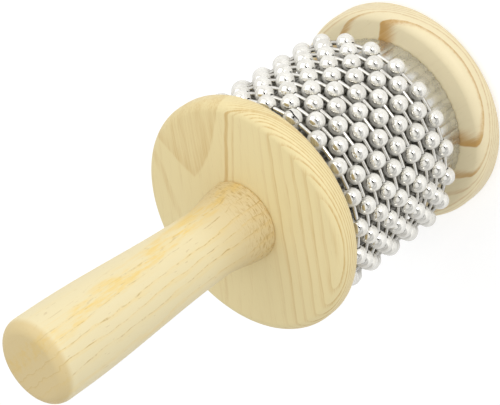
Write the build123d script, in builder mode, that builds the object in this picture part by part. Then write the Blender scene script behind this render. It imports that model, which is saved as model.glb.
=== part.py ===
# Cabasa: a turned wooden drum with a ridged steel sleeve, ten loops of steel
# ball chain that turn and slide loosely round it, and a turned wooden handle.
# It stands on the flat outer face of its rear disc, handle up.
# Frame: millimetres, +Z along the drum's axis from the rear disc to the handle,
# origin at the middle of the rear disc's outer face.
import os
from math import asin, cos, radians, sin

from build123d import *

# Wooden discs
rear_disc_diameter = 75.0
rear_disc_thickness = 11.0
rear_disc_edge_radius = 3.4
front_disc_diameter = 78.0
front_disc_thickness = 8.5
front_disc_edge_radius = 3.2

# Drum: wooden core inside a rolled sheet sleeve
drum_length = 66.5
sleeve_crest_radius = 28.4
sleeve_ridge_count = 50
sleeve_ridge_depth = 0.4
sleeve_sheet_thickness = 0.5
core_clearance = 0.1

# Handle, measured from the front disc's outer face
handle_length = 89.5
handle_shoulder_radius = 13.2
handle_waist_radius = 11.05
handle_waist_height = 16.5
handle_belly_radius = 13.5
handle_belly_height = 79.0
handle_end_edge_radius = 4.5

# Joinery inside the wood
tenon_radius = 8.0
tenon_depth_in_core = 26.0
tenon_end_gap = 1.0
dowel_radius = 5.0
dowel_depth_in_disc = 6.5
dowel_depth_in_core = 20.0
dowel_end_gap = 0.5
joint_clearance = 0.1

# Ball chain loops
loop_count = 10
balls_per_loop = 21
ball_radius = 3.0
ball_wall = 0.4
loop_radius = 33.8
loop_pitch = 5.05
first_loop_depth = 7.5
loop_seat_gap = 0.3
first_loop_phase = -61.24

# Headed links inside the balls
link_rod_radius = 0.7
link_head_radius = 1.55
link_head_thickness = 0.55
link_head_play = 0.2
link_hole_play = 0.12

# Closing ball of each loop, with an open seam from hole to hole; the first loop's faces the
# front, the others lie at the back, a whole count of balls further round
seam_width = 0.3
seam_tilt = 14.0
closing_ball_turn_count = 8
closing_ball_stagger_count = 2

# Heights along the axis
core_base = rear_disc_thickness
core_top = core_base + drum_length
handle_base = core_top + front_disc_thickness
handle_top = handle_base + handle_length
tenon_base = core_top - tenon_depth_in_core

# Chain geometry: a loop is a regular polygon of straight links, hung on the front of the sleeve
ball_angle = 360.0 / balls_per_loop
link_tilt = ball_angle / 2
half_link_pitch = loop_radius * sin(radians(link_tilt))
link_axis_radius = loop_radius * cos(radians(link_tilt))
loop_slack = loop_radius - ball_radius - sleeve_crest_radius
loop_offset = loop_slack - loop_seat_gap
ball_bore_radius = ball_radius - ball_wall

# A head lies just inside its ball's wall, and the hole lets the tilted rod through
head_seat_radius = ball_bore_radius - link_head_play
head_outer_reach = (head_seat_radius**2 - link_head_radius**2) ** 0.5
rod_drift = ball_radius * sin(radians(link_tilt))
ball_hole_radius = link_rod_radius + rod_drift + link_hole_play

os.makedirs("parts", exist_ok=True)


def finish(builder, name):
    """Label a finished piece and write its file."""
    builder.part.label = name
    export_step(builder.part, f"parts/{name}.step")


def ring_point(radius, angle):
    """Point on a circle round the axis, angle in degrees."""
    return (radius * cos(radians(angle)), radius * sin(radians(angle)))


def ridge_arcs(crest_radius, valley_radius):
    """Closed outline of rounded ridges that meet in narrow valleys."""
    step = 360.0 / sleeve_ridge_count
    for ridge in range(sleeve_ridge_count):
        start = ridge * step
        ThreePointArc(
            ring_point(valley_radius, start),
            ring_point(crest_radius, start + step / 2),
            ring_point(valley_radius, start + step),
        )


# Rear disc: the flat foot of the instrument, with a blind hole for the dowel
with BuildPart() as rear_disc:
    Cylinder(rear_disc_diameter / 2, rear_disc_thickness, align=(Align.CENTER, Align.CENTER, Align.MIN))
    fillet(rear_disc.edges().filter_by(GeomType.CIRCLE), rear_disc_edge_radius)
    with Locations((0, 0, rear_disc_thickness)):
        Hole(dowel_radius + joint_clearance, dowel_depth_in_disc + dowel_end_gap)
finish(rear_disc, "rear_disc")

# Core: the turned drum that both discs and the handle are glued to
sleeve_valley_radius = sleeve_crest_radius - sleeve_ridge_depth
sleeve_inner_crest_radius = sleeve_crest_radius - sleeve_sheet_thickness
sleeve_inner_valley_radius = sleeve_valley_radius - sleeve_sheet_thickness
core_radius = sleeve_inner_valley_radius - core_clearance
with BuildPart() as core:
    with Locations((0, 0, core_base)):
        Cylinder(core_radius, drum_length, align=(Align.CENTER, Align.CENTER, Align.MIN))
    with Locations((0, 0, core_top)):
        Hole(tenon_radius + joint_clearance, tenon_depth_in_core + tenon_end_gap)
    with Locations(Location((0, 0, core_base), (180, 0, 0))):
        Hole(dowel_radius + joint_clearance, dowel_depth_in_core + dowel_end_gap)
finish(core, "core")

# Dowel between the rear disc and the core
with BuildPart() as rear_dowel:
    with Locations((0, 0, core_base - dowel_depth_in_disc)):
        Cylinder(
            dowel_radius,
            dowel_depth_in_disc + dowel_depth_in_core,
            align=(Align.CENTER, Align.CENTER, Align.MIN),
        )
    chamfer(rear_dowel.edges().filter_by(GeomType.CIRCLE), dowel_end_gap)
finish(rear_dowel, "rear_dowel")

# Sleeve: sheet rolled with lengthwise ridges, held between the discs
with BuildPart() as ridged_sleeve:
    with BuildSketch(Plane.XY.offset(core_base)):
        with BuildLine():
            ridge_arcs(sleeve_crest_radius, sleeve_valley_radius)
        make_face()
        with BuildLine():
            ridge_arcs(sleeve_inner_crest_radius, sleeve_inner_valley_radius)
        make_face(mode=Mode.SUBTRACT)
    extrude(amount=drum_length)
finish(ridged_sleeve, "ridged_sleeve")

# Front disc, bored for the handle's tenon
with BuildPart() as front_disc:
    with Locations((0, 0, core_top)):
        Cylinder(
            front_disc_diameter / 2,
            front_disc_thickness,
            align=(Align.CENTER, Align.CENTER, Align.MIN),
        )
    fillet(front_disc.edges().filter_by(GeomType.CIRCLE), front_disc_edge_radius)
    with Locations((0, 0, handle_base)):
        Hole(tenon_radius + joint_clearance, front_disc_thickness)
finish(front_disc, "front_disc")

# Handle: shoulder on the disc, slim waist, fuller grip and a well rounded end,
# turned in one piece with the tenon that runs through the disc into the core
with BuildPart() as handle:
    with BuildSketch(Plane.XZ):
        with BuildLine():
            tenon_foot = Line((0, tenon_base), (tenon_radius, tenon_base))
            tenon_side = Line(tenon_foot @ 1, (tenon_radius, handle_base))
            shoulder = Line(tenon_side @ 1, (handle_shoulder_radius, handle_base))
            neck = Spline(
                shoulder @ 1,
                (handle_waist_radius, handle_base + handle_waist_height),
                tangents=[(0, 1), (0, 1)],
            )
            grip = Spline(
                neck @ 1,
                (handle_belly_radius, handle_base + handle_belly_height),
                tangents=[(0, 1), (0, 1)],
            )
            end_side = Line(grip @ 1, (handle_belly_radius, handle_top))
            end_face = Line(end_side @ 1, (0, handle_top))
            Line(end_face @ 1, tenon_foot @ 0)
        make_face()
    revolve(axis=Axis.Z)
    fillet(handle.edges().group_by(Axis.Z)[-1], handle_end_edge_radius)
finish(handle, "handle")

# One hollow ball, turned about Y, with its two link holes along Y
hole_outer_place = (ball_radius**2 - ball_hole_radius**2) ** 0.5
hole_inner_place = (ball_bore_radius**2 - ball_hole_radius**2) ** 0.5
with BuildPart() as ball:
    with BuildSketch(Plane.XY):
        with BuildLine():
            outside = ThreePointArc(
                (ball_hole_radius, -hole_outer_place), (ball_radius, 0), (ball_hole_radius, hole_outer_place)
            )
            hole_wall = Line(outside @ 1, (ball_hole_radius, hole_inner_place))
            inside = ThreePointArc(
                hole_wall @ 1, (ball_bore_radius, 0), (ball_hole_radius, -hole_inner_place)
            )
            Line(inside @ 1, outside @ 0)
        make_face()
    revolve(axis=Axis.Y)

# The closing ball: the same, with a seam open from hole to hole on its outer side (+X)
with BuildPart() as closing_ball:
    add(ball.part)
    with Locations(Location((0, 0, 0), (seam_tilt, 0, 0))):
        Box(
            ball_radius,
            2 * ball_radius,
            seam_width,
            align=(Align.MIN, Align.CENTER, Align.CENTER),
            mode=Mode.SUBTRACT,
        )

# One straight link along Y: a rod with a domed head inside each of the two balls it joins
head_seat_place = half_link_pitch - head_outer_reach
head_tip_place = head_seat_place + link_head_thickness
dome_radius = (link_head_radius**2 + link_head_thickness**2) / (2 * link_head_thickness)
dome_half_angle = asin(link_head_radius / dome_radius) / 2
dome_middle = (
    dome_radius * sin(dome_half_angle),
    head_tip_place - dome_radius * (1 - cos(dome_half_angle)),
)
with BuildPart() as link:
    with BuildSketch(Plane.XY):
        with BuildLine():
            Line((link_rod_radius, -head_seat_place), (link_rod_radius, head_seat_place))
            head_under = Line((link_rod_radius, head_seat_place), (link_head_radius, head_seat_place))
            dome = ThreePointArc(head_under @ 1, dome_middle, (0, head_tip_place))
            mirror(head_under, about=Plane.XZ)
            mirror(dome, about=Plane.XZ)
            Line((0, -head_tip_place), (0, head_tip_place))
        make_face()
    revolve(axis=Axis.Y)

# Loops of chain, staggered by half a ball pitch so that they nest
for loop in range(loop_count):
    number = f"{loop + 1:02d}"
    height = core_top - first_loop_depth - loop * loop_pitch
    closing_turn = closing_ball_turn_count + closing_ball_stagger_count * (loop % 3) if loop > 0 else 0
    phase = first_loop_phase + (loop % 2) * link_tilt + closing_turn * ball_angle
    loop_place = Location((0, loop_offset, height), (0, 0, phase))

    with BuildPart() as ball_loop:
        with Locations(loop_place):
            with PolarLocations(
                loop_radius,
                balls_per_loop - 1,
                start_angle=ball_angle,
                angular_range=360.0 - ball_angle,
            ):
                add(ball.part)
    finish(ball_loop, f"ball_loop_{number}")

    with BuildPart() as loop_closer:
        with Locations(loop_place):
            with Locations((loop_radius, 0, 0)):
                add(closing_ball.part)
    finish(loop_closer, f"closing_ball_{number}")

    with BuildPart() as link_loop:
        with Locations(loop_place):
            with PolarLocations(link_axis_radius, balls_per_loop, start_angle=link_tilt):
                add(link.part)
    finish(link_loop, f"link_loop_{number}")

print("total height", handle_top)
print("loop offset", loop_offset, "ball hole radius", round(ball_hole_radius, 3))
print("play behind last loop", drum_length - first_loop_depth - (loop_count - 1) * loop_pitch - ball_radius)
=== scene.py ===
"""Looks of a cabasa: turned pine, a ridged steel sleeve and loops of nickel ball chain.

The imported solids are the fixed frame. Each sub-assembly builds smooth meshes in the place of
its solids, dresses them with procedural finishes and lets them ride on the bodies that move.
"""

import logging
import math
from dataclasses import dataclass
from enum import Enum
from typing import Sequence

import bpy
from mathutils import Matrix, Vector, noise


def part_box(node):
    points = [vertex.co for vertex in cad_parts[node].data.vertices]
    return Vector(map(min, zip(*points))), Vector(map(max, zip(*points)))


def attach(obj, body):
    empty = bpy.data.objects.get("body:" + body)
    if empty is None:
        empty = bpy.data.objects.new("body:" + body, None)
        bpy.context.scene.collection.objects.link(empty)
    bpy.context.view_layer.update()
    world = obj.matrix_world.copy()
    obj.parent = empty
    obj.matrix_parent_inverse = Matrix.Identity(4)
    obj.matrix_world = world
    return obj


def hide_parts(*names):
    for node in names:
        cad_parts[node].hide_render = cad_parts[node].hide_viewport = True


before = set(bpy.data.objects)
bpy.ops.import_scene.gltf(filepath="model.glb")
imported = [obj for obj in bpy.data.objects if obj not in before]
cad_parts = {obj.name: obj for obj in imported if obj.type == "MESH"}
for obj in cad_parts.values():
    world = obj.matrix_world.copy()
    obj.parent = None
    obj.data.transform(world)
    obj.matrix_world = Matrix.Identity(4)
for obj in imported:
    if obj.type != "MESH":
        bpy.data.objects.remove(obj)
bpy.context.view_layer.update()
LOG = logging.getLogger("cabasa")

MM = 0.001
TINY = 1e-6

Profile = list[tuple[float, float]]
Colour = tuple[float, float, float, float]
Way = tuple[float, float, float]
Socket = bpy.types.NodeSocket
Tree = bpy.types.NodeTree
Piece = bpy.types.Object
LoopPieces = tuple[Piece, Piece, Piece]


class Turn(Enum):
    """Axis that a turned mesh is spun round."""

    UPRIGHT = "Z"
    ALONG_CHAIN = "Y"


class Ray(Enum):
    """Light Path outputs that see the white studio."""

    CAMERA = "Is Camera Ray"
    GLOSSY = "Is Glossy Ray"
    TRANSMISSION = "Is Transmission Ray"


def srgb(red: int, green: int, blue: int) -> Colour:
    """Turn a colour written as it should render into linear light.

    Args:
        red: Red from 0 to 255.
        green: Green from 0 to 255.
        blue: Blue from 0 to 255.

    Returns:
        Linear red, green, blue and an alpha of 1.
    """

    def linear(value: int) -> float:
        """Undo the display curve of one channel."""
        part = value / 255
        return part / 12.92 if part <= 0.04045 else ((part + 0.055) / 1.055) ** 2.4

    return (linear(red), linear(green), linear(blue), 1.0)


# Mesh making


def arc(centre: tuple[float, float], radius: float, start: float, end: float, steps: int) -> Profile:
    """Points along an arc in a profile's (radius, height) plane.

    Args:
        centre: Centre of the arc.
        radius: Radius of the arc.
        start: First angle in degrees, 0 pointing away from the axis.
        end: Last angle in degrees.
        steps: Number of spans.

    Returns:
        The points, both ends included.
    """
    points: Profile = []
    for step in range(steps + 1):
        angle = math.radians(start + (end - start) * step / steps)
        points.append((centre[0] + radius * math.cos(angle), centre[1] + radius * math.sin(angle)))
    return points


def ease(start: tuple[float, float], end: tuple[float, float], steps: int) -> Profile:
    """Points of an S-curve that leaves and arrives parallel to the axis.

    Args:
        start: First (radius, height).
        end: Last (radius, height).
        steps: Number of spans.

    Returns:
        The points after the first one.
    """
    points: Profile = []
    for step in range(1, steps + 1):
        part = step / steps
        blend = part * part * (3 - 2 * part)
        points.append((start[0] + (end[0] - start[0]) * blend, start[1] + (end[1] - start[1]) * part))
    return points


def spin(profile: Profile, segments: int, axis: Turn, closed: bool) -> tuple[list[Vector], list[list[int]]]:
    """Spin a profile round an axis.

    Args:
        profile: Points as (radius, height); a radius of 0 becomes one point on the axis.
        segments: Faces round the axis.
        axis: Axis of the turned piece.
        closed: Whether the last point joins the first one.

    Returns:
        Points and faces of the turned skin.
    """
    points: list[Vector] = []
    rings: list[list[int]] = []
    for radius, height in profile:
        ring: list[int] = []
        count = 1 if radius < TINY else segments
        for index in range(count):
            angle = 2 * math.pi * index / segments
            x, y = radius * math.cos(angle), radius * math.sin(angle)
            ring.append(len(points))
            points.append(Vector((x, y, height)) if axis is Turn.UPRIGHT else Vector((y, height, x)))
        rings.append(ring)
    faces: list[list[int]] = []
    spans = len(rings) if closed else len(rings) - 1
    for span in range(spans):
        low, high = rings[span], rings[(span + 1) % len(rings)]
        for index in range(segments):
            after = (index + 1) % segments
            face = [
                low[index % len(low)],
                low[after % len(low)],
                high[after % len(high)],
                high[index % len(high)],
            ]
            face = list(dict.fromkeys(face))
            if len(face) > 2:
                faces.append(face)
    return points, faces


def closed_skin(rings: Sequence[Sequence[int]], flipped: bool = False) -> list[list[int]]:
    """Join rings of points into a skin that closes on itself both ways.

    Args:
        rings: Numbers of the points of each ring.
        flipped: Whether the faces look the other way.

    Returns:
        The faces.
    """
    faces: list[list[int]] = []
    for span, ring in enumerate(rings):
        after = rings[(span + 1) % len(rings)]
        for step in range(len(ring)):
            beside = (step + 1) % len(ring)
            if flipped:
                faces.append([ring[step], after[step], after[beside], ring[beside]])
            else:
                faces.append([ring[step], ring[beside], after[beside], after[step]])
    return faces


def make_object(name: str, points: Sequence[Vector], faces: Sequence[Sequence[int]]) -> Piece:
    """Make a smooth mesh object.

    Args:
        name: Name of the piece.
        points: Its points in metres.
        faces: Its faces.

    Returns:
        The object, linked to the scene.
    """
    mesh = bpy.data.meshes.new(name)
    mesh.from_pydata([tuple(point) for point in points], [], [list(face) for face in faces])
    mesh.validate()
    for face in mesh.polygons:
        face.use_smooth = True
    piece = bpy.data.objects.new(name, mesh)
    bpy.context.scene.collection.objects.link(piece)
    return piece


def sharpen(piece: Piece, degrees: float) -> None:
    """Keep edges over an angle crisp under smooth shading.

    Args:
        piece: The piece.
        degrees: Angle between faces above which an edge is crisp.
    """
    piece.data.set_sharp_from_angle(angle=math.radians(degrees))


def copies(
    name: str, points: Sequence[Vector], faces: Sequence[Sequence[int]], places: Sequence[Matrix]
) -> Piece:
    """Make one mesh of a piece repeated in several places.

    Args:
        name: Name of the piece.
        points: Points of one copy.
        faces: Faces of one copy.
        places: Place of each copy.

    Returns:
        The object that holds all copies.
    """
    all_points: list[Vector] = []
    all_faces: list[list[int]] = []
    for place in places:
        first = len(all_points)
        all_points.extend(place @ point for point in points)
        all_faces.extend([first + index for index in face] for face in faces)
    return make_object(name, all_points, all_faces)


# Shader making


class Sheet:
    """A node tree with short calls for the nodes that the finishes use."""

    def __init__(self, tree: Tree) -> None:
        """Wrap a node tree."""
        self.tree = tree

    def node(self, kind: str, **settings: object) -> bpy.types.Node:
        """Add a node.

        Args:
            kind: Type of the node.
            settings: Its properties by name.

        Returns:
            The node.
        """
        made = self.tree.nodes.new(kind)
        for key, value in settings.items():
            setattr(made, key, value)
        return made

    def join(self, source: object, socket: Socket) -> None:
        """Feed a socket.

        Args:
            source: Another socket, or a plain value to set.
            socket: Socket to feed.
        """
        if isinstance(source, Socket):
            self.tree.links.new(source, socket)
        else:
            socket.default_value = source

    def math(self, operation: str, *values: object) -> Socket:
        """Add a Math node.

        Args:
            operation: Name of the operation.
            values: One to three sockets or plain values.

        Returns:
            The result.
        """
        made = self.node("ShaderNodeMath", operation=operation)
        for value, socket in zip(values, made.inputs):
            self.join(value, socket)
        return made.outputs[0]

    def add(self, first: object, second: object) -> Socket:
        """Add two values."""
        return self.math("ADD", first, second)

    def minus(self, first: object, second: object) -> Socket:
        """Take the second value from the first."""
        return self.math("SUBTRACT", first, second)

    def times(self, first: object, second: object) -> Socket:
        """Multiply two values."""
        return self.math("MULTIPLY", first, second)

    def scaled(self, value: object, factor: object, added: object) -> Socket:
        """Multiply a value by a factor and add another one."""
        return self.math("MULTIPLY_ADD", value, factor, added)

    def most(self, first: object, *others: object) -> Socket:
        """Find the largest of several values.

        Args:
            first: First value.
            others: The other values.

        Returns:
            The largest one.
        """
        largest = first
        for value in others:
            largest = self.math("MAXIMUM", largest, value)
        return largest

    def split(self, vector: Socket) -> list[Socket]:
        """Take a vector apart.

        Args:
            vector: The vector.

        Returns:
            Its x, y and z.
        """
        made = self.node("ShaderNodeSeparateXYZ")
        self.join(vector, made.inputs[0])
        return list(made.outputs)

    def combine(self, x: object, y: object, z: object) -> Socket:
        """Make a vector.

        Args:
            x: First part.
            y: Second part.
            z: Third part.

        Returns:
            The vector.
        """
        made = self.node("ShaderNodeCombineXYZ")
        for value, socket in zip((x, y, z), made.inputs):
            self.join(value, socket)
        return made.outputs[0]

    def tint(self, amount: object, under: object, over: object) -> Socket:
        """Mix two colours.

        Args:
            amount: Share of the second colour, 0 to 1.
            under: First colour.
            over: Second colour.

        Returns:
            The mixed colour.
        """
        made = self.node("ShaderNodeMix", data_type="RGBA")
        self.join(amount, made.inputs["Factor"])
        self.join(under, made.inputs[6])
        self.join(over, made.inputs[7])
        return made.outputs[2]

    def group(self, tree: Tree, **values: object) -> dict[str, Socket]:
        """Place a shared group.

        Args:
            tree: The group.
            values: Sockets or plain values of its inputs by name.

        Returns:
            Its outputs by name.
        """
        made = self.node("ShaderNodeGroup", node_tree=tree)
        for key, value in values.items():
            self.join(value, made.inputs[key])
        return {socket.name: socket for socket in made.outputs}


@dataclass(frozen=True)
class Fade:
    """Smooth change from one level to another between two values, level beyond them."""

    low: float
    high: float
    at_low: float = 0.0
    at_high: float = 1.0

    def of(self, sheet: Sheet, value: object) -> Socket:
        """Read the fade.

        Args:
            sheet: Sheet that it is drawn on.
            value: Value to read it at.

        Returns:
            The level there.
        """
        made = sheet.node("ShaderNodeMapRange", interpolation_type="SMOOTHSTEP")
        for item, socket in zip((value, self.low, self.high, self.at_low, self.at_high), made.inputs):
            sheet.join(item, socket)
        return made.outputs[0]


@dataclass(frozen=True)
class Stripe:
    """Soft stripe round one value."""

    middle: float
    half: float
    strength: float = 1.0
    core: float = 0.25

    def of(self, sheet: Sheet, value: object) -> Socket:
        """Draw the stripe.

        Args:
            sheet: Sheet that it is drawn on.
            value: Value across the stripe.

        Returns:
            Its strength, full in the middle and 0 outside.
        """
        distance = sheet.math("ABSOLUTE", sheet.minus(value, self.middle))
        return Fade(self.core * self.half, self.half, self.strength, 0.0).of(sheet, distance)


@dataclass(frozen=True)
class Cloud:
    """Noise of one size, about 0.5 on average."""

    scale: float
    detail: float = 2.0
    rough: float = 0.5

    def of(self, sheet: Sheet, vector: Socket) -> Socket:
        """Read the noise.

        Args:
            sheet: Sheet that it is drawn on.
            vector: Place to read it at.

        Returns:
            Its value there.
        """
        made = sheet.node("ShaderNodeTexNoise")
        sheet.join(vector, made.inputs["Vector"])
        made.inputs["Scale"].default_value = self.scale
        made.inputs["Detail"].default_value = self.detail
        made.inputs["Roughness"].default_value = self.rough
        return made.outputs["Fac"]


def new_group(
    name: str, inputs: Sequence[tuple[str, str, object]], outputs: Sequence[tuple[str, str]]
) -> tuple[Sheet, dict[str, Socket], bpy.types.Node]:
    """Start a shared shader group.

    Args:
        name: Name of the group.
        inputs: Name, socket type and default of each input.
        outputs: Name and socket type of each output.

    Returns:
        The group's sheet, its inputs by name and its output node.
    """
    tree = bpy.data.node_groups.new(name, "ShaderNodeTree")
    for label, kind, default in inputs:
        socket = tree.interface.new_socket(name=label, in_out="INPUT", socket_type=kind)
        if default is not None:
            socket.default_value = default
    for label, kind in outputs:
        tree.interface.new_socket(name=label, in_out="OUTPUT", socket_type=kind)
    sheet = Sheet(tree)
    source = sheet.node("NodeGroupInput")
    return sheet, {socket.name: socket for socket in source.outputs}, sheet.node("NodeGroupOutput")


def fibre_group() -> Tree:
    """Build the pine fibre effect: fine streaks, pore dashes and a raised grain.

    Returns:
        The group; it takes a place in millimetres with the fibre along its Z.
    """
    fine_pull, broad_pull, pore_pull = 0.035, 0.02, 0.16
    fine_cloud, broad_cloud, pore_cloud = Cloud(2.6, 3.0, 0.6), Cloud(0.55), Cloud(2.1, 1.0, 0.4)
    fine_share, broad_share, raised = 0.6, 0.4, 0.7
    pore_edge = Fade(0.70, 0.78)
    sheet, given, out = new_group(
        "pine_fibre",
        [("Place", "NodeSocketVector", None), ("Seed", "NodeSocketFloat", 0.0)],
        [("Streak", "NodeSocketFloat"), ("Pores", "NodeSocketFloat"), ("Relief", "NodeSocketFloat")],
    )
    x, y, z = sheet.split(given["Place"])
    shifted = sheet.add(x, given["Seed"])
    fine = fine_cloud.of(sheet, sheet.combine(shifted, y, sheet.times(z, fine_pull)))
    broad = broad_cloud.of(sheet, sheet.combine(shifted, y, sheet.times(z, broad_pull)))
    dashes = pore_cloud.of(sheet, sheet.combine(shifted, y, sheet.times(z, pore_pull)))
    streak = sheet.add(sheet.times(fine, fine_share), sheet.times(broad, broad_share))
    pores = pore_edge.of(sheet, dashes)
    relief = sheet.minus(sheet.times(fine, raised), pores)
    sheet.join(streak, out.inputs["Streak"])
    sheet.join(pores, out.inputs["Pores"])
    sheet.join(relief, out.inputs["Relief"])
    return sheet.tree


def smudge_group() -> Tree:
    """Build the handling effect on plated metal: soft smears and small pits.

    Returns:
        The group; it takes a place in millimetres.
    """
    smear_cloud, smear_edge = Cloud(0.35, 3.0, 0.55), Fade(0.38, 0.68)
    pit_cloud, pit_edge = Cloud(2.2), Fade(0.66, 0.74)
    sheet, given, out = new_group(
        "metal_handling",
        [("Place", "NodeSocketVector", None)],
        [("Smear", "NodeSocketFloat"), ("Pits", "NodeSocketFloat")],
    )
    smear = smear_edge.of(sheet, smear_cloud.of(sheet, given["Place"]))
    pits = pit_edge.of(sheet, pit_cloud.of(sheet, given["Place"]))
    sheet.join(smear, out.inputs["Smear"])
    sheet.join(pits, out.inputs["Pits"])
    return sheet.tree


def start_material(name: str) -> tuple[bpy.types.Material, Sheet, bpy.types.Node, Socket]:
    """Start a material with a Principled shader and the place in millimetres.

    Args:
        name: Name of the material.

    Returns:
        The material, its sheet, the shader and the place's socket.
    """
    material = bpy.data.materials.new(name)
    material.use_nodes = True
    sheet = Sheet(material.node_tree)
    shader = material.node_tree.nodes["Principled BSDF"]
    place = sheet.node("ShaderNodeVectorMath", operation="SCALE")
    sheet.join(sheet.node("ShaderNodeTexCoord").outputs["Object"], place.inputs[0])
    place.inputs["Scale"].default_value = 1 / MM
    return material, sheet, shader, place.outputs[0]


def bump(sheet: Sheet, shader: bpy.types.Node, height: object, strength: float, distance: float) -> None:
    """Feed a height to the shader's normal.

    Args:
        sheet: The material's sheet.
        shader: Its Principled shader.
        height: Height, about 0 to 1.
        strength: Strength of the bump.
        distance: Real height of 1, in metres.
    """
    made = sheet.node("ShaderNodeBump")
    made.inputs["Strength"].default_value = strength
    made.inputs["Distance"].default_value = distance
    sheet.join(height, made.inputs["Height"])
    sheet.join(made.outputs[0], shader.inputs["Normal"])


# Figures of the wood, in millimetres


def growth_line(sheet: Sheet, ring: Socket, start: float) -> Socket:
    """Draw one line of late growth per ring: a slow rise and a sharp end.

    Args:
        sheet: The material's sheet.
        ring: Count of rings.
        start: Share of a ring at which the rise starts.

    Returns:
        Strength of late growth, 0 to 1.
    """
    rise_end, fall = 0.93, Fade(0.94, 1.0, 1.0, 0.0)
    part = sheet.math("FRACT", ring)
    return sheet.times(Fade(start, rise_end).of(sheet, part), fall.of(sheet, part))


class Figure:
    """Pattern of late growth and dark marks on one piece of wood."""

    def draw(self, sheet: Sheet, place: Socket) -> tuple[object, object]:
        """Draw the pattern.

        Args:
            sheet: The material's sheet.
            place: Place in millimetres.

        Returns:
            Strength of late growth and of dark marks, 0 to 1.
        """
        raise NotImplementedError


@dataclass(frozen=True)
class FrontFigure(Figure):
    """Front disc: growth lines that turn along the rim, a stripe, a patch and a slanting band."""

    fibre_way: tuple[float, float] = (-0.743, 0.669)
    face_height: float = 86.0
    dip: float = 4.6
    sway: float = 1.8
    sway_cloud: Cloud = Cloud(0.07)
    fan: Fade = Fade(-13.0, -1.0, -0.085, 0.11)
    first_line: float = -16.8
    line_spacing: float = 4.1
    line_start: float = 0.30
    face_lines: Fade = Fade(-15.0, -9.0, 0.44, 0.16)
    rim: Fade = Fade(0.1, 0.8)
    rim_lines: Fade = Fade(-6.0, 6.0, 0.76, 0.15)
    stripes: tuple[Stripe, ...] = (Stripe(6.4, 1.2), Stripe(3.8, 0.8, 0.55), Stripe(0.4, 0.6, 0.30))
    stripe_fade: Fade = Fade(-4.0, 16.0, 0.78, 0.34)
    patch_curve: tuple[float, float, float] = (0.0115, -0.30, 20.2)
    patch_line: tuple[float, float] = (0.245, 2.7)
    curve_edge: Fade = Fade(-0.4, 0.9)
    line_edge: Fade = Fade(-0.5, 1.0)
    patch_depth: Fade = Fade(0.5, 7.0, 0.50, 0.34)
    band_slope: float = 0.354
    band: Stripe = Stripe(28.5, 2.6)
    band_fade: Fade = Fade(8.0, 14.0, 0.0, 0.34)

    def patch(self, sheet: Sheet, x: Socket, y: Socket, sway: Socket) -> Socket:
        """Draw the darker patch between a curved edge and a straight one.

        Args:
            sheet: The material's sheet.
            x: Place along X.
            y: Place along Y.
            sway: Waviness of the edges.

        Returns:
            Strength of the patch.
        """
        square, slope, start = self.patch_curve
        curve = sheet.scaled(sheet.math("POWER", y, 2.0), square, sheet.scaled(y, slope, start))
        inside = sheet.add(sheet.minus(x, curve), sway)
        below = sheet.minus(sheet.scaled(x, *self.patch_line), sheet.add(y, sway))
        shape = sheet.times(self.curve_edge.of(sheet, inside), self.line_edge.of(sheet, below))
        return sheet.times(shape, self.patch_depth.of(sheet, sheet.math("MINIMUM", inside, below)))

    def draw(self, sheet: Sheet, place: Socket) -> tuple[object, object]:
        """Draw the pattern.

        Args:
            sheet: The material's sheet.
            place: Place in millimetres.

        Returns:
            Strength of late growth and of dark marks, 0 to 1.
        """
        x, y, z = sheet.split(place)
        way_x, way_y = self.fibre_way
        across = sheet.add(sheet.times(x, way_y), sheet.times(y, -way_x))
        along = sheet.add(sheet.times(x, way_x), sheet.times(y, way_y))
        depth = sheet.minus(self.face_height, z)
        sway = sheet.scaled(self.sway_cloud.of(sheet, place), self.sway, -0.5 * self.sway)
        fan = sheet.times(along, self.fan.of(sheet, across))
        ring = sheet.scaled(depth, self.dip, sheet.add(sheet.minus(across, fan), sway))
        count = sheet.math("DIVIDE", sheet.minus(self.first_line, ring), self.line_spacing)
        on_rim = sheet.times(self.rim.of(sheet, depth), self.rim_lines.of(sheet, across))
        level = sheet.most(on_rim, self.face_lines.of(sheet, ring))
        lines = sheet.times(growth_line(sheet, count, self.line_start), level)
        stripes = sheet.most(*(stripe.of(sheet, ring) for stripe in self.stripes))
        stripes = sheet.times(stripes, self.stripe_fade.of(sheet, along))
        slant = sheet.add(sheet.scaled(x, self.band_slope, y), sway)
        band = sheet.times(self.band.of(sheet, slant), self.band_fade.of(sheet, x))
        return sheet.most(lines, stripes, self.patch(sheet, x, y, sway), band), 0.0


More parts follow.
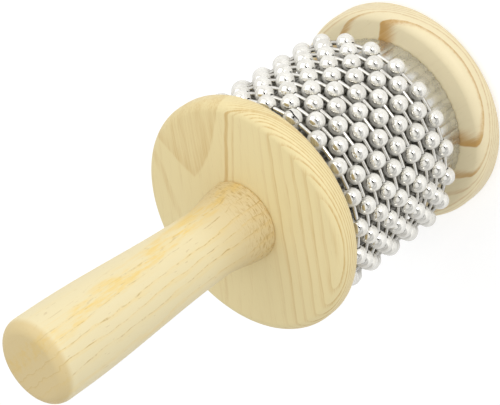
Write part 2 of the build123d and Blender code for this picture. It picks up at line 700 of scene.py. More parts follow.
@dataclass(frozen=True)
class RearFigure(Figure):
    """Rear disc: arched growth layers, cut as wide amber bands on the face and thin lines on the rim."""

    face_height: float = 11.0
    middle: float = 2.7
    tip: float = 8.0
    flare: float = 0.8
    bend_radius: float = 140.0
    sway: float = 0.7
    sway_cloud: Cloud = Cloud(0.08)
    face_level: Fade = Fade(9.6, 11.0, 0.62, 0.9)
    broad_band: tuple[Fade, Fade] = (Fade(-0.12, 0.08), Fade(0.15, 1.7, 1.0, 0.0))
    second_band: tuple[Fade, Fade] = (Fade(-2.85, -2.7), Fade(-2.6, -1.9, 0.75, 0.0))
    first_line: float = 3.0
    lines_per_mm: float = 0.9
    line_start: float = 0.40
    line_fade: Fade = Fade(-3.4, -3.1, 0.46, 0.0)

    def draw(self, sheet: Sheet, place: Socket) -> tuple[object, object]:
        """Draw the pattern.

        Args:
            sheet: The material's sheet.
            place: Place in millimetres.

        Returns:
            Strength of late growth and of dark marks, 0 to 1.
        """
        x, y, z = sheet.split(place)
        sway = sheet.scaled(self.sway_cloud.of(sheet, place), self.sway, -0.5 * self.sway)
        open_half = sheet.times(sheet.most(sheet.minus(self.tip, y), 0.0), self.flare)
        aside = sheet.math("POWER", sheet.minus(x, self.middle), 2.0)
        arch = sheet.minus(sheet.math("POWER", open_half, 2.0), aside)
        height = sheet.add(sheet.minus(z, self.face_height), sway)
        layer = sheet.scaled(arch, 0.5 / self.bend_radius, height)
        bands = [
            sheet.times(edge.of(sheet, layer), tail.of(sheet, layer))
            for edge, tail in (self.broad_band, self.second_band)
        ]
        face = sheet.times(sheet.most(*bands), self.face_level.of(sheet, z))
        count = sheet.times(sheet.add(layer, self.first_line), -self.lines_per_mm)
        lines = sheet.times(growth_line(sheet, count, self.line_start), self.line_fade.of(sheet, layer))
        return sheet.most(face, lines), 0.0


@dataclass(frozen=True)
class HandleFigure(Figure):
    """Handle: a golden stripe, broken growth lines, the marks of the tool by the shoulder and painted shade
    towards the front disc.
    """

    foot: float = 86.0
    askew: float = 0.040
    gold_askew: float = 0.0725
    squeeze: float = 0.25
    sway: float = 4.4
    sway_cloud: Cloud = Cloud(0.16, 3.0, 0.6)
    gold: Stripe = Stripe(9.65, 4.6, 0.72)
    gold_cloud: Cloud = Cloud(0.45, 3.0, 0.6)
    gold_patches: Fade = Fade(0.36, 0.62, 0.35, 1.0)
    first_line: float = 2.2
    line_spacing: float = 3.3
    line_start: float = 0.35
    line_fade: Fade = Fade(3.0, 5.0, 0.34, 0.14)
    dash: Stripe = Stripe(0.90, 0.06)
    dash_pull: float = 0.13
    dash_cloud: Cloud = Cloud(1.0, 4.0, 0.75)
    dash_edge: Fade = Fade(0.44, 0.60)
    dash_side: Fade = Fade(8.0, 10.5, 1.0, 0.0)
    dash_fade: Fade = Fade(3.0, 8.0, 0.62, 0.40)
    stroke_length: float = 5.5
    stroke_pull: float = 2.2
    stroke_sway: Cloud = Cloud(0.35)
    stroke_cloud: Cloud = Cloud(1.0, 3.0, 0.65)
    stroke_edge: Fade = Fade(0.48, 0.66)
    stroke_fade: Fade = Fade(2.0, 15.0, 0.55, 0.0)
    # Painted shade: the handle darkens towards the front disc, where the disc shades it.
    painted_shoulder_shade: Fade = Fade(4.0, 30.0, 0.42, 0.0)

    def strokes(self, sheet: Sheet, place: Socket) -> Socket:
        """Draw the tool's short strokes round the handle.

        Args:
            sheet: The material's sheet.
            place: Place in millimetres.

        Returns:
            Strength of the strokes, 0 to 1.
        """
        x, y, z = sheet.split(place)
        turned = sheet.times(sheet.math("ARCTAN2", y, x), self.stroke_length)
        uneven = sheet.add(z, self.stroke_sway.of(sheet, place))
        spot = sheet.combine(turned, 0.0, sheet.times(uneven, self.stroke_pull))
        return self.stroke_edge.of(sheet, self.stroke_cloud.of(sheet, spot))

    def draw(self, sheet: Sheet, place: Socket) -> tuple[object, object]:
        """Draw the pattern.

        Args:
            sheet: The material's sheet.
            place: Place in millimetres.

        Returns:
            Strength of late growth and of dark marks with painted shade, 0 to 1.
        """
        x, y, z = sheet.split(place)
        above = sheet.minus(z, self.foot)
        squeezed = sheet.combine(x, y, sheet.times(z, self.squeeze))
        sway = sheet.scaled(self.sway_cloud.of(sheet, squeezed), self.sway, -0.5 * self.sway)
        swayed = sheet.add(x, sway)
        patches = self.gold_patches.of(sheet, self.gold_cloud.of(sheet, squeezed))
        gold = sheet.times(self.gold.of(sheet, sheet.scaled(above, self.gold_askew, swayed)), patches)
        ring = sheet.scaled(above, self.askew, swayed)
        count = sheet.math("DIVIDE", sheet.minus(ring, self.first_line), self.line_spacing)
        lines = sheet.times(growth_line(sheet, count, self.line_start), self.line_fade.of(sheet, ring))
        spot = sheet.combine(sheet.math("FLOOR", count), 0.0, sheet.times(z, self.dash_pull))
        broken = self.dash_edge.of(sheet, self.dash_cloud.of(sheet, spot))
        broken = sheet.times(broken, self.dash_side.of(sheet, sheet.math("ABSOLUTE", x)))
        dashes = sheet.times(self.dash.of(sheet, sheet.math("FRACT", count)), broken)
        dashes = sheet.times(dashes, self.dash_fade.of(sheet, ring))
        strokes = sheet.times(self.strokes(sheet, place), self.stroke_fade.of(sheet, above))
        # The painted shade towards the front disc is added on top of the tool's marks.
        marks_and_shade = sheet.add(sheet.most(dashes, strokes), self.painted_shoulder_shade.of(sheet, above))
        return sheet.most(gold, lines), marks_and_shade


@dataclass(frozen=True)
class PlainFigure(Figure):
    """Even growth rings for the wood inside."""

    rings_per_mm: float = 0.3
    rise: Fade = Fade(0.3, 1.0)

    def draw(self, sheet: Sheet, place: Socket) -> tuple[object, object]:
        """Draw the pattern.

        Args:
            sheet: The material's sheet.
            place: Place in millimetres.

        Returns:
            Strength of late growth and of dark marks, 0 to 1.
        """
        x = sheet.split(place)[0]
        return self.rise.of(sheet, sheet.math("FRACT", sheet.times(x, self.rings_per_mm))), 0.0


# Finishes


@dataclass(frozen=True)
class Pine:
    """Finish of one turned pine piece: pale wood with darker bands of late growth."""

    name: str
    early: Colour
    late: Colour
    pore: Colour
    band_depth: float
    pore_depth: float
    seed: float
    figure: Figure
    fibre_way: Way
    end_colour: Colour | None = None
    end_fade: Fade = Fade(0.12, 0.62, 0.0, 0.64)
    streak_fade: Fade = Fade(0.32, 0.68, -0.5, 0.5)
    streak_depth: float = 0.30
    rough: float = 0.42
    streak_rough: float = 0.12
    specular: float = 0.35
    relief_strength: float = 0.25
    relief: float = 0.06 * MM

    def along_fibre(self, sheet: Sheet, place: Socket) -> Socket:
        """Turn a place so that the fibre runs along Z.

        Args:
            sheet: The material's sheet.
            place: Place in millimetres.

        Returns:
            The turned place.
        """
        upright = Vector(self.fibre_way).normalized().rotation_difference(Vector((0, 0, 1)))
        turn = sheet.node("ShaderNodeVectorRotate", rotation_type="AXIS_ANGLE")
        sheet.join(place, turn.inputs["Vector"])
        turn.inputs["Axis"].default_value = upright.axis if upright.angle > TINY else (0, 0, 1)
        turn.inputs["Angle"].default_value = upright.angle
        return turn.outputs[0]

    def end_amount(self, sheet: Sheet) -> Socket:
        """Find the cut ends, which face along the fibre.

        Args:
            sheet: The material's sheet.

        Returns:
            Strength of the end's colour.
        """
        facing = sheet.node("ShaderNodeVectorMath", operation="DOT_PRODUCT")
        sheet.join(sheet.node("ShaderNodeNewGeometry").outputs["Normal"], facing.inputs[0])
        facing.inputs[1].default_value = Vector(self.fibre_way).normalized()
        return self.end_fade.of(sheet, sheet.math("ABSOLUTE", facing.outputs["Value"]))

    def material(self, fibre: Tree) -> bpy.types.Material:
        """Make the material.

        Args:
            fibre: The shared fibre group.

        Returns:
            The material.
        """
        material, sheet, shader, place = start_material(self.name)
        effect = sheet.group(fibre, Place=self.along_fibre(sheet, place), Seed=self.seed)
        bands, marks_and_shade = self.figure.draw(sheet, place)
        streak = self.streak_fade.of(sheet, effect["Streak"])
        late = sheet.scaled(streak, self.streak_depth, sheet.times(bands, self.band_depth))
        base = sheet.tint(Fade(0.0, 1.0).of(sheet, late), self.early, self.late)
        # On the handle the dark marks include painted shade near the front disc, tinted with the pore colour.
        dark = sheet.most(sheet.times(effect["Pores"], self.pore_depth), marks_and_shade)
        base = sheet.tint(dark, base, self.pore)
        if self.end_colour is not None:
            base = sheet.tint(self.end_amount(sheet), base, self.end_colour)
        sheet.join(base, shader.inputs["Base Color"])
        rough = sheet.scaled(effect["Streak"], self.streak_rough, self.rough)
        sheet.join(rough, shader.inputs["Roughness"])
        shader.inputs["Specular IOR Level"].default_value = self.specular
        bump(sheet, shader, effect["Relief"], self.relief_strength, self.relief)
        return material


@dataclass(frozen=True)
class Plating:
    """Finish of bright or satin metal, softer at its rim, with painted shade under the chain where asked."""

    name: str
    colour: Colour
    worn: Colour
    rough: float
    smear_rough: float
    pit_depth: float
    edge: Colour = (1.0, 1.0, 1.0, 1.0)
    metal: float = 1.0
    rim_metal: float | None = None
    rim_start: float = 0.13
    rim_full: float = 0.44
    # Colour of the painted shade under the chain, and the heights in millimetres over which it fades in.
    painted_shade_under_chain: Colour | None = None
    painted_shade_reach: Fade = Fade(20.0, 25.0)
    pit_strength: float = 0.3
    pit_height: float = 0.02 * MM

    def material(self, smudge: Tree) -> bpy.types.Material:
        """Make the material.

        Args:
            smudge: The shared handling group.

        Returns:
            The material.
        """
        material, sheet, shader, place = start_material(self.name)
        effect = sheet.group(smudge, Place=place)
        base = sheet.tint(effect["Smear"], self.colour, self.worn)
        # Painted shade: the sleeve turns darker above its bare stretch, where the chain hangs over it.
        if self.painted_shade_under_chain is not None:
            chain_shade = self.painted_shade_reach.of(sheet, sheet.split(place)[2])
            base = sheet.tint(chain_shade, base, self.painted_shade_under_chain)
        sheet.join(base, shader.inputs["Base Color"])
        rough = sheet.scaled(effect["Smear"], self.smear_rough, self.rough)
        sheet.join(rough, shader.inputs["Roughness"])
        if self.rim_metal is None:
            shader.inputs["Metallic"].default_value = self.metal
        else:
            facing = sheet.node("ShaderNodeLayerWeight").outputs["Facing"]
            rim = Fade(self.rim_start, self.rim_full, self.metal, self.rim_metal)
            sheet.join(rim.of(sheet, facing), shader.inputs["Metallic"])
        shader.inputs["Specular Tint"].default_value = self.edge
        pits = sheet.times(effect["Pits"], -self.pit_depth)
        bump(sheet, shader, pits, self.pit_strength, self.pit_height)
        return material


# Sub-assemblies


def finish_piece(piece: Piece, material: bpy.types.Material, body: str, slot: str, *nodes: str) -> None:
    """Give a piece its finish, body and the solids that it stands for.

    Args:
        piece: The piece.
        material: Its finish.
        body: Body that it rides on.
        slot: Not used.
        nodes: Solids that it replaces.
    """
    piece.data.materials.append(material)
    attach(piece, body)
    if nodes:
        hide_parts(*nodes)
    LOG.info("%s rides on %s", piece.name, body)


@dataclass
class WoodenBody:
    """Handle and discs, turned from pine, and the wood inside the drum."""

    pore: Colour = srgb(176, 140, 84)
    segments: int = 160
    crisp_angle: float = 50.0
    rear_edge: float = 3.4 * MM
    rear_ring: float = 0.5
    front_edge: float = 3.2 * MM
    front_ring: float = 0.6
    edge_steps: int = 10
    tenon_radius: float = 8.0 * MM
    dowel_radius: float = 5.1 * MM
    dowel_depth: float = 7.0 * MM
    bore_radius: float = 8.1 * MM
    shoulder_radius: float = 13.2 * MM
    shoulder_lift: float = 0.3 * MM
    waist_radius: float = 11.05 * MM
    waist_height: float = 16.5 * MM
    neck_steps: int = 24
    belly_height: float = 79.0 * MM
    grip_steps: int = 32
    end_edge: float = 4.0 * MM
    end_steps: int = 12
    end_ring: float = 0.35

    def rear_profile(self) -> Profile:
        """Outline the rear disc, with its dowel hole.

        Returns:
            Radius and height of each point.
        """
        low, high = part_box("rear_disc")
        radius, base, top = high[0], low[2], high[2]
        inner = radius - self.rear_edge
        ring = inner * self.rear_ring
        floor = top - self.dowel_depth
        outline: Profile = [(0.0, base), (ring, base)]
        outline += arc((inner, base + self.rear_edge), self.rear_edge, -90, 0, self.edge_steps)
        outline += arc((inner, top - self.rear_edge), self.rear_edge, 0, 90, self.edge_steps)
        outline += [(ring, top), (self.dowel_radius, top), (self.dowel_radius, floor), (0.0, floor)]
        return outline

    def front_profile(self) -> Profile:
        """Outline the front disc, bored for the tenon.

        Returns:
            Radius and height of each point.
        """
        low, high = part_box("front_disc")
        radius, base, top = high[0], low[2], high[2]
        inner = radius - self.front_edge
        ring = inner * self.front_ring
        outline: Profile = [(self.bore_radius, base), (ring, base)]
        outline += arc((inner, base + self.front_edge), self.front_edge, -90, 0, self.edge_steps)
        outline += arc((inner, top - self.front_edge), self.front_edge, 0, 90, self.edge_steps)
        outline += [(ring, top), (self.bore_radius, top)]
        return outline

    def handle_profile(self) -> Profile:
        """Outline the handle with its tenon.

        Returns:
            Radius and height of each point.
        """
        low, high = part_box("handle")
        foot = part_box("front_disc")[1][2]
        belly_radius, top = high[0], high[2]
        shoulder = (self.shoulder_radius, foot + self.shoulder_lift)
        waist = (self.waist_radius, foot + self.waist_height)
        belly = (belly_radius, foot + self.belly_height)
        end = (belly_radius - self.end_edge, top - self.end_edge)
        outline: Profile = [(0.0, low[2]), (self.tenon_radius, low[2]), (self.tenon_radius, foot)]
        outline += [(self.shoulder_radius - self.shoulder_lift, foot), shoulder]
        outline += ease(shoulder, waist, self.neck_steps)
        outline += ease(waist, belly, self.grip_steps)
        outline += arc(end, self.end_edge, 0, 90, self.end_steps)
        outline += [(belly_radius * self.end_ring, top), (0.0, top)]
        return outline

    def build(self) -> dict[str, Piece]:
        """Make the three pieces that show.

        Returns:
            The pieces by node name.
        """
        made: dict[str, Piece] = {}
        for node, outline, closed in (
            ("rear_disc", self.rear_profile(), False),
            ("front_disc", self.front_profile(), True),
            ("handle", self.handle_profile(), False),
        ):
            points, faces = spin(outline, self.segments, Turn.UPRIGHT, closed)
            made[node] = make_object(f"turned_{node}", points, faces)
            sharpen(made[node], self.crisp_angle)
        return made

    def finishes(self) -> dict[str, Pine]:
        """Choose the pine of each turned piece.

        Returns:
            The finishes by node name.
        """
        front = Pine(
            "front_disc_pine", srgb(239, 222, 170), srgb(207, 170, 102), self.pore,
            band_depth=0.8, pore_depth=0.1, seed=3.0,
            figure=FrontFigure(), fibre_way=(0.80, -0.60, 0.0),
        )
        rear = Pine(
            "rear_disc_pine", srgb(243, 229, 190), srgb(203, 160, 94), self.pore,
            band_depth=1.0, pore_depth=0.1, seed=11.0,
            figure=RearFigure(), fibre_way=(0.05, 1.0, 0.0),
        )
        handle = Pine(
            "handle_pine", srgb(237, 223, 180), srgb(241, 208, 119), srgb(190, 160, 103),
            band_depth=0.85, pore_depth=0.3, seed=23.0,
            figure=HandleFigure(), fibre_way=(0.0, 0.0, 1.0), end_colour=srgb(217, 190, 130),
        )
        return {"front_disc": front, "rear_disc": rear, "handle": handle}

    def dress(self, pieces: dict[str, Piece], fibre: Tree) -> None:
        """Give each piece its pine, and raw pine to the solids inside.

        Args:
            pieces: The turned pieces by node name.
            fibre: The shared fibre group.
        """
        materials = {node: pine.material(fibre) for node, pine in self.finishes().items()}
        for node, piece in pieces.items():
            finish_piece(piece, materials[node], "drum", f"{node}_wood", node)
        inner = Pine(
            "inner_pine", srgb(222, 200, 150), srgb(196, 160, 104), self.pore,
            band_depth=0.7, pore_depth=0.2, seed=31.0,
            figure=PlainFigure(), fibre_way=(0.0, 0.0, 1.0),
        )
        raw = inner.material(fibre)
        for node in ("core", "rear_dowel"):
            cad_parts[node].data.materials.clear()
            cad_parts[node].data.materials.append(raw)


@dataclass
class RidgedSleeve:
    """Sheet sleeve with rounded lengthwise ridges."""

    ridges: int = 50
    steps: int = 10
    depth: float = 0.4 * MM
    roundness: int = 3
    sheet: float = 0.5 * MM
    uneven: float = 0.015 * MM
    dent_step: float = 1.7
    dents_per_metre: float = 45.0
    dent_seed: float = 4.0
    lift: float = 0.3 * MM
    rows: int = 12
    crisp_angle: float = 40.0

    def radius(self, crest: float, step: int, height: float) -> float:
        """Find the outer skin's radius at one step round the sleeve.

        Args:
            crest: Radius of the crests.
            step: Step round the sleeve.
            height: Height in metres.

        Returns:
            The radius in metres.
        """
        part = (step % self.steps) / self.steps
        ridge = step // self.steps % self.ridges
        drop = self.depth * abs(2 * part - 1) ** self.roundness
        spot = Vector((ridge * self.dent_step, height * self.dents_per_metre, self.dent_seed))
        dent = 0.5 + 0.5 * noise.noise(spot)
        return crest - drop - self.uneven * dent

    def build(self) -> Piece:
        """Make the sleeve.

        Returns:
            The sleeve, a closed sheet.
        """
        low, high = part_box("ridged_sleeve")
        crest = max(high[0], high[1])
        count = self.ridges * self.steps
        points: list[Vector] = []
        rings: list[list[int]] = []
        foot = low[2] + self.lift
        levels = [foot + (high[2] - foot) * row / self.rows for row in range(self.rows + 1)]
        for wall, heights in ((0.0, levels), (self.sheet, levels[::-1])):
            for height in heights:
                ring: list[int] = []
                for step in range(count):
                    angle = 2 * math.pi * step / count
                    radius = self.radius(crest, step, height) - wall
                    ring.append(len(points))
                    points.append(Vector((radius * math.cos(angle), radius * math.sin(angle), height)))
                rings.append(ring)
        sleeve = make_object("rolled_sleeve", points, closed_skin(rings))
        sharpen(sleeve, self.crisp_angle)
        return sleeve

    def dress(self, piece: Piece, smudge: Tree) -> None:
        """Give the sleeve its satin steel and the painted shade under the chain.

        Args:
            piece: The sleeve.
            smudge: The shared handling group.
        """
        # The sleeve is darkened under the chain with painted shade.
        satin = Plating(
            "satin_sleeve", srgb(219, 220, 220), srgb(199, 199, 197),
            rough=0.22, smear_rough=0.10, pit_depth=0.4, metal=0.93, painted_shade_under_chain=srgb(142, 140, 134),
        )
        finish_piece(piece, satin.material(smudge), "drum", "sleeve_steel", "ridged_sleeve")


@dataclass
class ChainLoops:
    """Ten loops of hollow balls on headed links, hung loosely round the sleeve."""

    loops: int = 10
    balls: int = 21
    ball_radius: float = 3.0 * MM
    ball_wall: float = 0.4 * MM
    ball_segments: int = 32
    outer_steps: int = 20
    inner_steps: int = 8
    loop_radius: float = 33.8 * MM
    offset: float = 2.1 * MM
    first_phase: float = -61.24
    closing_turn: int = 8
    closing_stagger: int = 2
    stagger_cycle: int = 3
    hole_radius: float = 0.98 * MM
    hole_pull: int = 8
    rod_radius: float = 0.7 * MM
    head_radius: float = 1.55 * MM
    head_thickness: float = 0.55 * MM
    head_play: float = 0.2 * MM
    head_rim: float = 0.25
    dome_place: float = 0.6
    dome_drop: float = 0.2
    link_segments: int = 16
    seam_half: float = 0.075
    seam_lip: float = 0.35
    seam_floor: float = 0.3
    seam_sway: float = -0.12
    seam_turn: float = 0.33
    seam_columns: int = 40
    groove_columns: int = 3
    crisp_angle: float = 45.0

    def ball_profile(self) -> Profile:
        """Outline a hollow ball.

        Returns:
            Radius and place along the chain of each point, for a closed outline.
        """
        bore = self.ball_radius - self.ball_wall
        outer_mouth = math.degrees(math.acos(self.hole_radius / self.ball_radius))
        inner_mouth = math.degrees(math.acos(self.hole_radius / bore))
        outline = arc((0, 0), self.ball_radius, -outer_mouth, outer_mouth, self.outer_steps)
        outline += arc((0, 0), bore, inner_mouth, -inner_mouth, self.inner_steps)
        return outline

    def lean_holes(self, points: Sequence[Vector]) -> None:
        """Move both holes of a ball inwards, to where its two links meet the wall.

        Args:
            points: Points of one ball, changed in place.
        """
        drift = self.ball_radius * math.sin(math.pi / self.balls)
        mouth = math.sqrt(self.ball_radius**2 - self.hole_radius**2)
        for point in points:
            point.x -= drift * min(1.0, abs(point.y) / mouth) ** self.hole_pull

    def seam_angles(self) -> list[float]:
        """Set out a closing ball's columns, the four edges of the seam first.

        Returns:
            Angle of each column in radians, 0 in the middle of the seam.
        """
        lip = self.seam_half * self.seam_lip
        edges = [-self.seam_half, -lip, lip, self.seam_half]
        rest = self.seam_columns - len(edges)
        span = 2 * math.pi - 2 * self.seam_half
        return edges + [self.seam_half + span * (index + 1) / (rest + 1) for index in range(rest)]

    def seamed_ball(self) -> tuple[list[Vector], list[list[int]]]:
        """Make a ball with a swaying groove in its outer skin, from hole to hole.

        Returns:
            Points and faces, the groove on the +X side.
        """
        bore = self.ball_radius - self.ball_wall
        groove_floor = bore + self.seam_floor * self.ball_wall
        points: list[Vector] = []
        rings: list[list[int]] = []
        for radius, place in self.ball_profile():
            ring: list[int] = []
            size = math.hypot(radius, place)
            outer = size > bore + 0.5 * self.ball_wall
            sway = self.seam_sway * math.sin(math.pi * place / self.ball_radius)
            for index, angle in enumerate(self.seam_angles()):
                sunk = outer and 0 < index < self.groove_columns
                share = groove_floor / size if sunk else 1.0
                turned = angle + sway + self.seam_turn
                across = radius * share
                ring.append(len(points))
                points.append(Vector((across * math.cos(turned), place * share, across * math.sin(turned))))
            rings.append(ring)
        return points, closed_skin(rings, flipped=True)

    def shade_seam(self, closer: Piece, material: bpy.types.Material) -> None:
        """Paint shade into the groove of a closing ball's seam with a dark material.

        Args:
            closer: The closing ball.
            material: Dark material that paints the groove's shade.
        """
        closer.data.materials.append(material)
        for face in closer.data.polygons:
            if face.index % self.seam_columns < self.groove_columns:
                face.material_index = 1

    def link_profile(self) -> Profile:
        """Outline a link: a rod with a domed head at each end.

        Returns:
            Radius and place along the chain of each point.
        """
        half_pitch = self.loop_radius * math.sin(math.pi / self.balls)
        head_room = self.ball_radius - self.ball_wall - self.head_play
        seat = half_pitch - math.sqrt(head_room**2 - self.head_radius**2)
        tip = seat + self.head_thickness
        rim = seat + self.head_rim * self.head_thickness
        dome = (self.dome_place * self.head_radius, tip - self.dome_drop * self.head_thickness)
        half: Profile = [(self.rod_radius, seat), (self.head_radius, seat), (self.head_radius, rim)]
        half += [dome, (0.0, tip)]
        return [(radius, -place) for radius, place in reversed(half)] + half

    def place(self, loop: int, height: float, turn: float, radius: float) -> Matrix:
        """Find the place of a piece of chain.

        Args:
            loop: Loop's number from 0.
            height: Height of the loop.
            turn: Angle from the loop's closing ball in degrees.
            radius: Distance from the loop's middle.

        Returns:
            The place, with Y along the chain and X outwards.
        """
        pitch = 360 / self.balls
        stagger = self.closing_stagger * (loop % self.stagger_cycle)
        closing = self.closing_turn + stagger if loop > 0 else 0
        phase = self.first_phase + loop % 2 * pitch / 2 + closing * pitch
        spin_to = Matrix.Rotation(math.radians(phase + turn), 4, "Z")
        return Matrix.Translation((0, self.offset, height)) @ spin_to @ Matrix.Translation((radius, 0, 0))

    def build(self) -> dict[str, LoopPieces]:
        """Make every loop.

        Returns:
            Balls, closing ball and links of each loop, by the loop's two figures.
        """
        pitch = 360 / self.balls
        ball = spin(self.ball_profile(), self.ball_segments, Turn.ALONG_CHAIN, True)
        link = spin(self.link_profile(), self.link_segments, Turn.ALONG_CHAIN, False)
        seamed = self.seamed_ball()
        self.lean_holes(ball[0])
        self.lean_holes(seamed[0])
        link_radius = self.loop_radius * math.cos(math.pi / self.balls)
        made: dict[str, LoopPieces] = {}
        for loop in range(self.loops):
            number = f"{loop + 1:02d}"
            low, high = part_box(f"ball_loop_{number}")
            level = (low[2] + high[2]) / 2
            turns = [pitch * index for index in range(self.balls)]
            places = [self.place(loop, level, turn, self.loop_radius) for turn in turns]
            between = [self.place(loop, level, turn + pitch / 2, link_radius) for turn in turns]
            made[number] = (
                copies(f"balls_{number}", *ball, places[1:]),
                copies(f"closer_{number}", *seamed, places[:1]),
                copies(f"links_{number}", *link, between),
            )
            for piece in made[number]:
                sharpen(piece, self.crisp_angle)
        return made

    def dress(self, pieces: dict[str, LoopPieces], smudge: Tree) -> None:
        """Give the loops their plating and let each one ride on its own body.

        Args:
            pieces: Balls, closing ball and links of each loop.
            smudge: The shared handling group.
        """
        bright = Plating(
            "bright_nickel", srgb(241, 239, 232), srgb(225, 222, 214),
            rough=0.04, smear_rough=0.03, pit_depth=0.5, metal=0.97, rim_metal=0.06,
        )
        # The dark edge tint darkens the rods' sides at grazing angles: a painted reflection of the dark
        # sleeve around them.
        rod = Plating(
            "link_nickel", srgb(232, 230, 224), srgb(214, 211, 204),
            rough=0.12, smear_rough=0.08, pit_depth=0.4, edge=srgb(120, 116, 108),
        )
        # A dark plating on the seam's groove faces paints the shade inside the slit.
        seam_shade_plating = Plating(
            "seam_shadow", srgb(46, 44, 42), srgb(34, 32, 30), rough=0.5, smear_rough=0.1, pit_depth=0.0
        )
        ball_finish, link_finish, seam_shade_material = (each.material(smudge) for each in (bright, rod, seam_shade_plating))
        for number, (balls, closer, links) in pieces.items():
            body = f"loop_{number}"
            finish_piece(balls, ball_finish, body, "ball_steel", f"ball_loop_{number}")
            finish_piece(closer, ball_finish, body, "ball_steel", f"closing_ball_{number}")
            self.shade_seam(closer, seam_shade_material)
            finish_piece(links, link_finish, body, "link_steel", f"link_loop_{number}")


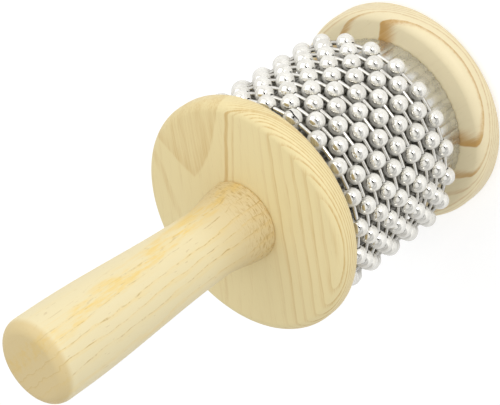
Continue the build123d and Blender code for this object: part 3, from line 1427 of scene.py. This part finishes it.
@dataclass
class Studio:
    """White floor, soft light and the camera at the photograph's angle."""

    image_width: int = 500
    focal_pixels: float = 1850.0
    sensor_mm: float = 36.0
    near_clip: float = 0.01
    eye: Way = (0.0, -0.44038, 0.43436)
    right: Way = (-0.57054, -0.51295, -0.64140)
    up: Way = (0.82127, -0.36142, -0.44150)
    floor_half: float = 3.0
    floor_grey: float = 0.6
    floor_rough: float = 0.9
    floor_white: float = 0.56
    floor_glow: float = 0.18
    world_light: float = 0.74
    bright_way: Way = (0.70, -0.55, 0.45)
    bright_side: Fade = Fade(-0.75, 0.55, 0.50, 1.0)
    lens_way: Way = (0.05, -0.87, 0.49)
    lens_half_angle: float = 12.0
    lens_soft: float = 0.25
    lens_level: float = 0.0
    stand_way: Way = (-0.35, -0.85, 0.45)
    stand: Fade = Fade(0.90, 0.97, 1.0, 0.62)
    hoop_way: Way = (-0.10, -0.37, 0.93)
    hoop_half_angle: float = 40.0
    hoop_half_width: float = 0.035
    hoop: Fade = Fade(0.0, 1.0, 1.0, 0.15)
    aim: Way = (0.0, 0.0, 0.09)
    key_way: Way = (0.10, -0.98, 0.14)
    key_watts: float = 1.6
    key_size: float = 0.26
    fill_way: Way = (0.75, -0.30, 0.60)
    fill_watts: float = 1.4
    fill_size: float = 0.8
    lamp_reach: float = 0.8

    def white_rays(self, sheet: Sheet) -> Socket:
        """Find the rays that see the white studio.

        Args:
            sheet: Sheet of a material or the world.

        Returns:
            1 for camera, glossy and transmission rays.
        """
        path = sheet.node("ShaderNodeLightPath")
        return sheet.most(*(path.outputs[ray.value] for ray in Ray))

    def towards(self, sheet: Sheet, way: Socket, aim: Way) -> Socket:
        """Measure how nearly a direction points one way.

        Args:
            sheet: The world's sheet.
            way: Direction in the room.
            aim: The way to compare with.

        Returns:
            Cosine of the angle between them.
        """
        made = sheet.node("ShaderNodeVectorMath", operation="DOT_PRODUCT")
        sheet.join(way, made.inputs[0])
        made.inputs[1].default_value = Vector(aim).normalized()
        return made.outputs["Value"]

    def room(self, sheet: Sheet) -> Socket:
        """Draw the room that the metal mirrors: a bright side, a dark lens, a grey stand and a hoop.

        Args:
            sheet: The world's sheet.

        Returns:
            Brightness in each direction.
        """
        way = sheet.node("ShaderNodeTexCoord").outputs["Generated"]
        edge = math.radians(self.lens_half_angle)
        rim, inside = math.cos((1 + self.lens_soft) * edge), math.cos((1 - self.lens_soft) * edge)
        lens = Fade(rim, inside, 1.0, self.lens_level)
        hoop_line = Stripe(math.cos(math.radians(self.hoop_half_angle)), self.hoop_half_width)
        near_hoop = hoop_line.of(sheet, self.towards(sheet, way, self.hoop_way))
        level = self.bright_side.of(sheet, self.towards(sheet, way, self.bright_way))
        level = sheet.times(level, lens.of(sheet, self.towards(sheet, way, self.lens_way)))
        level = sheet.times(level, self.stand.of(sheet, self.towards(sheet, way, self.stand_way)))
        return sheet.times(level, self.hoop.of(sheet, near_hoop))

    def light(self) -> None:
        """Light the object softly from all sides, with a key lamp in front and a fill lamp above."""
        world = bpy.data.worlds.new("studio")
        world.use_nodes = True
        bpy.context.scene.world = world
        sheet = Sheet(world.node_tree)
        back = world.node_tree.nodes["Background"]
        back.inputs["Color"].default_value = (1, 1, 1, 1)
        extra = sheet.minus(self.room(sheet), self.world_light)
        level = sheet.scaled(self.white_rays(sheet), extra, self.world_light)
        sheet.join(level, back.inputs["Strength"])
        self.lamp("key", self.key_way, self.key_watts, self.key_size)
        self.lamp("fill", self.fill_way, self.fill_watts, self.fill_size)

    def lamp(self, name: str, way: Way, watts: float, size: float) -> None:
        """Hang a square lamp that points at the object.

        Args:
            name: Name of the lamp.
            way: Way from the object to the lamp.
            watts: Its power.
            size: Its width in metres.
        """
        made = bpy.data.lights.new(name, "AREA")
        made.energy = watts
        made.size = size
        holder = bpy.data.objects.new(name, made)
        towards_lamp = Vector(way).normalized()
        holder.location = Vector(self.aim) + towards_lamp * self.lamp_reach
        holder.rotation_euler = (-towards_lamp).to_track_quat("-Z", "Y").to_euler()
        bpy.context.scene.collection.objects.link(holder)

    def floor(self) -> None:
        """Lay a white floor that keeps the object's shadow."""
        half = self.floor_half
        corners = [Vector((x, y, 0)) for x, y in ((-half, -half), (half, -half), (half, half), (-half, half))]
        floor = make_object("floor", corners, [[0, 1, 2, 3]])
        material = bpy.data.materials.new("white_floor")
        material.use_nodes = True
        sheet = Sheet(material.node_tree)
        shader = material.node_tree.nodes["Principled BSDF"]
        shader.inputs["Base Color"].default_value = (self.floor_grey, self.floor_grey, self.floor_grey, 1)
        shader.inputs["Roughness"].default_value = self.floor_rough
        shader.inputs["Specular IOR Level"].default_value = 0.0
        shader.inputs["Emission Color"].default_value = (1, 1, 1, 1)
        glow = self.floor_glow
        shine = sheet.scaled(self.white_rays(sheet), self.floor_white - glow, glow)
        sheet.join(shine, shader.inputs["Emission Strength"])
        floor.data.materials.append(material)

    def camera(self) -> None:
        """Set the camera at the photograph's angle."""
        lens = bpy.data.cameras.new("camera")
        lens.sensor_width = self.sensor_mm
        lens.lens = self.focal_pixels / self.image_width * self.sensor_mm
        lens.clip_start = self.near_clip
        holder = bpy.data.objects.new("camera", lens)
        right, up = Vector(self.right).normalized(), Vector(self.up).normalized()
        back = right.cross(up)
        turn = Matrix((right, up, back)).transposed()
        holder.matrix_world = Matrix.Translation(self.eye) @ turn.to_4x4()
        bpy.context.scene.collection.objects.link(holder)
        bpy.context.scene.camera = holder

    def build(self) -> None:
        """Set up the view, the camera, the light and the floor."""
        bpy.context.scene.view_settings.view_transform = "Standard"
        self.camera()
        self.light()
        self.floor()


def main() -> None:
    """Build the studio and the sub-assemblies."""
    logging.basicConfig(level=logging.INFO, format="%(name)s: %(message)s")
    Studio().build()
    fibre, smudge = fibre_group(), smudge_group()
    wood = WoodenBody()
    wood.dress(wood.build(), fibre)
    sleeve = RidgedSleeve()
    sleeve.dress(sleeve.build(), smudge)
    chain = ChainLoops()
    chain.dress(chain.build(), smudge)


if __name__ == "__main__":
    main()
